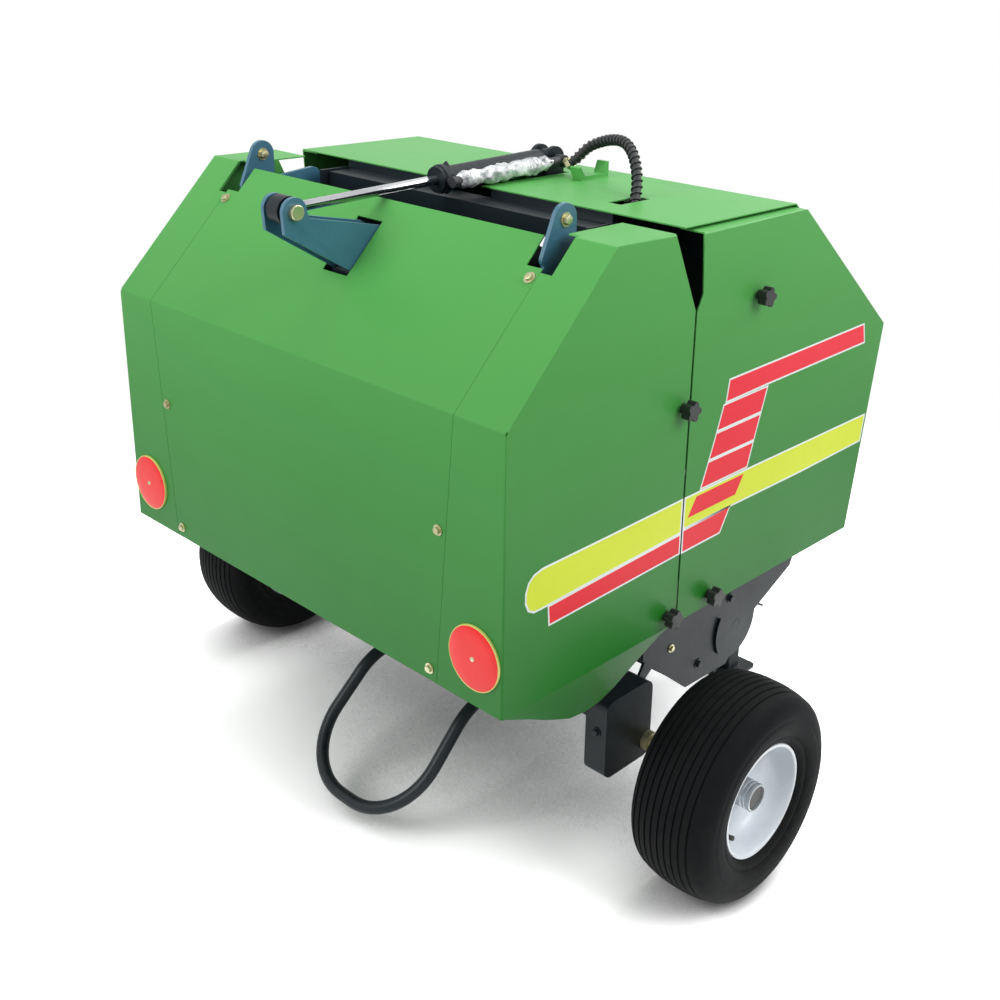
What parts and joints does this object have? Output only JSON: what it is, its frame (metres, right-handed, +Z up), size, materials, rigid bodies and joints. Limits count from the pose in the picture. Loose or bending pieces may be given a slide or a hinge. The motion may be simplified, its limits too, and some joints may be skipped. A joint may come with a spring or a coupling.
{
  "type": "small round hay baler",
  "caption": "Two-wheeled round baler for a compact tractor, with a roller chamber, hinged tailgate, lift cylinder, tined pickup, three-point hitch and parking leg.",
  "frame": {"origin": "midway along the machine's length and on its centre plane, at ground level", "axes": "+X forward towards the tractor, +Y to the left, +Z up"},
  "size_m": [1.179, 1.508, 1.271],
  "materials": {
    "green_paint": "gloss",
    "blue_grey_paint": "satin",
    "black_paint": "satin",
    "bright_steel": "satin",
    "rod_chrome": "polished",
    "tyre_rubber": "matte",
    "rim_paint": "gloss",
    "zinc_steel": "satin",
    "black_plastic": "matte",
    "red_reflector": "gloss",
    "hose_rubber": "matte",
    "cast_housing": "matte"
  },
  "bodies": {
    "frame": {"front_cover_right": "green_paint", "front_cover_left": "green_paint", "front_roof": "green_paint", "front_panel": "green_paint", "front_skin": "green_paint", "front_rollers": "bright_steel", "front_knobs": "black_plastic", "chamber_plates": "blue_grey_paint", "cross_beams": "blue_grey_paint", "axle_frame": "black_paint", "axle_stubs": "zinc_steel", "bale_hoop": "black_paint", "pedestal": "black_paint", "hose_fittings": "zinc_steel", "hydraulic_hose": "hose_rubber", "pickup_sides": "black_paint", "pickup_bars": "black_paint", "pickup_bands": "bright_steel", "front_posts": "blue_grey_paint", "gearbox": "cast_housing", "pto_guard": "black_plastic", "hitch_mast": "blue_grey_paint", "link_arms": "blue_grey_paint", "leg_holder": "black_paint"},
    "tailgate": {"gate_side_right": "green_paint", "gate_side_left": "green_paint", "gate_panel": "green_paint", "gate_frame": "black_paint", "gate_arms": "blue_grey_paint", "gate_lever": "blue_grey_paint", "gate_rollers": "bright_steel", "gate_skin": "green_paint", "gate_knobs": "black_plastic", "reflectors": "red_reflector"},
    "cylinder": {"cylinder_barrel": "black_paint", "cylinder_line": "hose_rubber"},
    "rod": {"cylinder_rod": "rod_chrome"},
    "pickup": {"pickup_reel": "black_paint"},
    "input_shaft": {"pto_shaft": "bright_steel"},
    "leg": {"parking_leg": "black_paint"},
    "wheel_right": {"tyre_right": "tyre_rubber", "rim_right": "rim_paint"},
    "wheel_left": {"tyre_left": "tyre_rubber", "rim_left": "rim_paint"}
  },
  "joints": [
    {"name": "tailgate_hinge", "type": "hinge", "parent": "frame", "child": "tailgate", "pos_m": [-0.3155, 0, 1.055], "axis": [0, 1, 0], "range_deg": [0, 50]},
    {"name": "cylinder_swing", "type": "hinge", "parent": "frame", "child": "cylinder", "pos_m": [0.0545, 0, 1.204], "axis": [0, 1, 0], "range_deg": [0, 19]},
    {"name": "rod_stroke", "type": "slide", "parent": "cylinder", "child": "rod", "axis": [0.9993, 0, 0.0387], "range_m": [0, 0.165]},
    {"name": "pickup_spin", "type": "hinge", "parent": "frame", "child": "pickup", "pos_m": [0.1845, 0, 0.3], "axis": [0, 1, 0], "continuous": true},
    {"name": "input_spin", "type": "hinge", "parent": "frame", "child": "input_shaft", "pos_m": [0.5395, 0, 0.64], "axis": [1, 0, 0], "continuous": true},
    {"name": "leg_slide", "type": "slide", "parent": "frame", "child": "leg", "axis": [0, 0, 1], "range_m": [0, 0.24]},
    {"name": "wheel_right_spin", "type": "hinge", "parent": "frame", "child": "wheel_right", "pos_m": [-0.1405, -0.668, 0.2], "axis": [0, 1, 0], "continuous": true},
    {"name": "wheel_left_spin", "type": "hinge", "parent": "frame", "child": "wheel_left", "pos_m": [-0.1405, 0.668, 0.2], "axis": [0, 1, 0], "continuous": true}
  ],
  "couplings": [
    {"joint": "cylinder_swing", "follows": "tailgate_hinge", "ratio": 0.3691},
    {"joint": "rod_stroke", "follows": "tailgate_hinge", "m_per_rad": 0.1837},
    {"joint": "input_spin", "follows": "pickup_spin", "ratio": -5.25}
  ]
}
